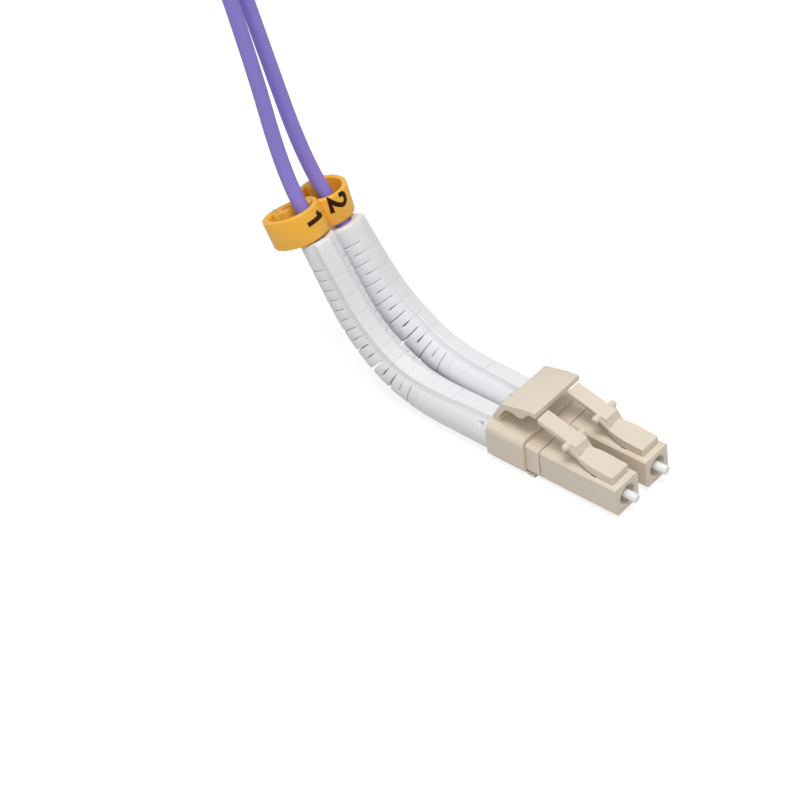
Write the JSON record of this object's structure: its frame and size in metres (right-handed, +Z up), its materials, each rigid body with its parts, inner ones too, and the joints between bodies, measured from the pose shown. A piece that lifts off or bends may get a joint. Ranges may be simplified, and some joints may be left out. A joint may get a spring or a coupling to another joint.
{
  "type": "lc duplex fibre connector on its cord",
  "caption": "Duplex LC fibre connector on a short patch cord: two square latching plugs in a clip, one trigger over both latches, bent slit boots and marker rings.",
  "frame": {"origin": "on the flat underside of the first connector's clip, midway between its two plugs", "axes": "+X is the mating direction of the first connector, +Z is up on its latch side, +Y completes the frame"},
  "size_m": [0.2108, 0.0138, 0.0913],
  "materials": {
    "connector_plastic": "beige moulded plastic, satin",
    "boot_plastic": "white flexible plastic, satin",
    "cord_jacket": "purple smooth jacket, satin",
    "ring_plastic": "yellow-orange moulded plastic",
    "ferrule_ceramic": "white polished ceramic",
    "flange_metal": "turned metal",
    "spring_steel": "bright spring wire",
    "crimp_metal": "plated metal",
    "wire_steel": "bright drawn wire",
    "fibre_coating": "pale fibre buffer"
  },
  "bodies": {
    "body": {"duplex_clip": "connector_plastic", "plug_housing_1": "connector_plastic", "rear_body_1": "connector_plastic", "ferrule_spring_1": "spring_steel", "fibre_buffer_1": "fibre_coating", "crimp_sleeve_1": "crimp_metal", "boot_1": "boot_plastic", "boot_wire_1": "wire_steel", "marker_ring_1": "ring_plastic", "plug_housing_2": "connector_plastic", "rear_body_2": "connector_plastic", "ferrule_spring_2": "spring_steel", "fibre_buffer_2": "fibre_coating", "crimp_sleeve_2": "crimp_metal", "boot_2": "boot_plastic", "boot_wire_2": "wire_steel", "marker_ring_2": "ring_plastic", "far_duplex_clip": "connector_plastic", "far_plug_housing_1": "connector_plastic", "far_rear_body_1": "connector_plastic", "far_ferrule_spring_1": "spring_steel", "far_fibre_buffer_1": "fibre_coating", "far_crimp_sleeve_1": "crimp_metal", "far_boot_1": "boot_plastic", "far_boot_wire_1": "wire_steel", "far_marker_ring_1": "ring_plastic", "far_plug_housing_2": "connector_plastic", "far_rear_body_2": "connector_plastic", "far_ferrule_spring_2": "spring_steel", "far_fibre_buffer_2": "fibre_coating", "far_crimp_sleeve_2": "crimp_metal", "far_boot_2": "boot_plastic", "far_boot_wire_2": "wire_steel", "far_marker_ring_2": "ring_plastic", "cord_1": "cord_jacket", "cord_2": "cord_jacket"},
    "trigger": {"clip_trigger": "connector_plastic"},
    "latch_1_lever": {"latch_1": "connector_plastic"},
    "ferrule_1_rod": {"ferrule_1": "ferrule_ceramic", "ferrule_flange_1": "flange_metal"},
    "latch_2_lever": {"latch_2": "connector_plastic"},
    "ferrule_2_rod": {"ferrule_2": "ferrule_ceramic", "ferrule_flange_2": "flange_metal"},
    "far_trigger": {"far_clip_trigger": "connector_plastic"},
    "far_latch_1_lever": {"far_latch_1": "connector_plastic"},
    "far_ferrule_1_rod": {"far_ferrule_1": "ferrule_ceramic", "far_ferrule_flange_1": "flange_metal"},
    "far_latch_2_lever": {"far_latch_2": "connector_plastic"},
    "far_ferrule_2_rod": {"far_ferrule_2": "ferrule_ceramic", "far_ferrule_flange_2": "flange_metal"}
  },
  "joints": [
    {"name": "trigger_press", "type": "hinge", "parent": "body", "child": "trigger", "pos_m": [-0.00265, 0, 0.0068], "axis": [0, 1, 0], "range_deg": [0, 10], "stiffness_Nm_per_rad": 0.002},
    {"name": "latch_1_flex", "type": "hinge", "parent": "body", "child": "latch_1_lever", "pos_m": [0.0133, -0.00313, 0.00515], "axis": [0, -1, 0], "range_deg": [0, 7.7], "stiffness_Nm_per_rad": 0.001},
    {"name": "ferrule_1_slide", "type": "slide", "parent": "body", "child": "ferrule_1_rod", "axis": [-1, 0, 0], "range_m": [0, 0.0008], "stiffness_N_per_m": 400, "springref_m": -0.0005, "deforming": ["ferrule_spring_1"]},
    {"name": "latch_2_flex", "type": "hinge", "parent": "body", "child": "latch_2_lever", "pos_m": [0.0133, 0.00313, 0.00515], "axis": [0, -1, 0], "range_deg": [0, 7.7], "stiffness_Nm_per_rad": 0.001},
    {"name": "ferrule_2_slide", "type": "slide", "parent": "body", "child": "ferrule_2_rod", "axis": [-1, 0, 0], "range_m": [0, 0.0008], "stiffness_N_per_m": 400, "springref_m": -0.0005, "deforming": ["ferrule_spring_2"]},
    {"name": "far_trigger_press", "type": "hinge", "parent": "body", "child": "far_trigger", "pos_m": [-0.17035, 0, 0.0068], "axis": [0, -1, 0], "range_deg": [0, 10], "stiffness_Nm_per_rad": 0.002},
    {"name": "far_latch_1_flex", "type": "hinge", "parent": "body", "child": "far_latch_1_lever", "pos_m": [-0.1863, -0.00313, 0.00515], "axis": [0, 1, 0], "range_deg": [0, 7.7], "stiffness_Nm_per_rad": 0.001},
    {"name": "far_ferrule_1_slide", "type": "slide", "parent": "body", "child": "far_ferrule_1_rod", "axis": [1, 0, 0], "range_m": [0, 0.0008], "stiffness_N_per_m": 400, "springref_m": -0.0005, "deforming": ["far_ferrule_spring_1"]},
    {"name": "far_latch_2_flex", "type": "hinge", "parent": "body", "child": "far_latch_2_lever", "pos_m": [-0.1863, 0.00313, 0.00515], "axis": [0, 1, 0], "range_deg": [0, 7.7], "stiffness_Nm_per_rad": 0.001},
    {"name": "far_ferrule_2_slide", "type": "slide", "parent": "body", "child": "far_ferrule_2_rod", "axis": [1, 0, 0], "range_m": [0, 0.0008], "stiffness_N_per_m": 400, "springref_m": -0.0005, "deforming": ["far_ferrule_spring_2"]}
  ],
  "couplings": [
    {"joint": "latch_1_flex", "follows": "trigger_press", "ratio": 0.764},
    {"joint": "latch_2_flex", "follows": "trigger_press", "ratio": 0.764},
    {"joint": "far_latch_1_flex", "follows": "far_trigger_press", "ratio": 0.764},
    {"joint": "far_latch_2_flex", "follows": "far_trigger_press", "ratio": 0.764}
  ]
}
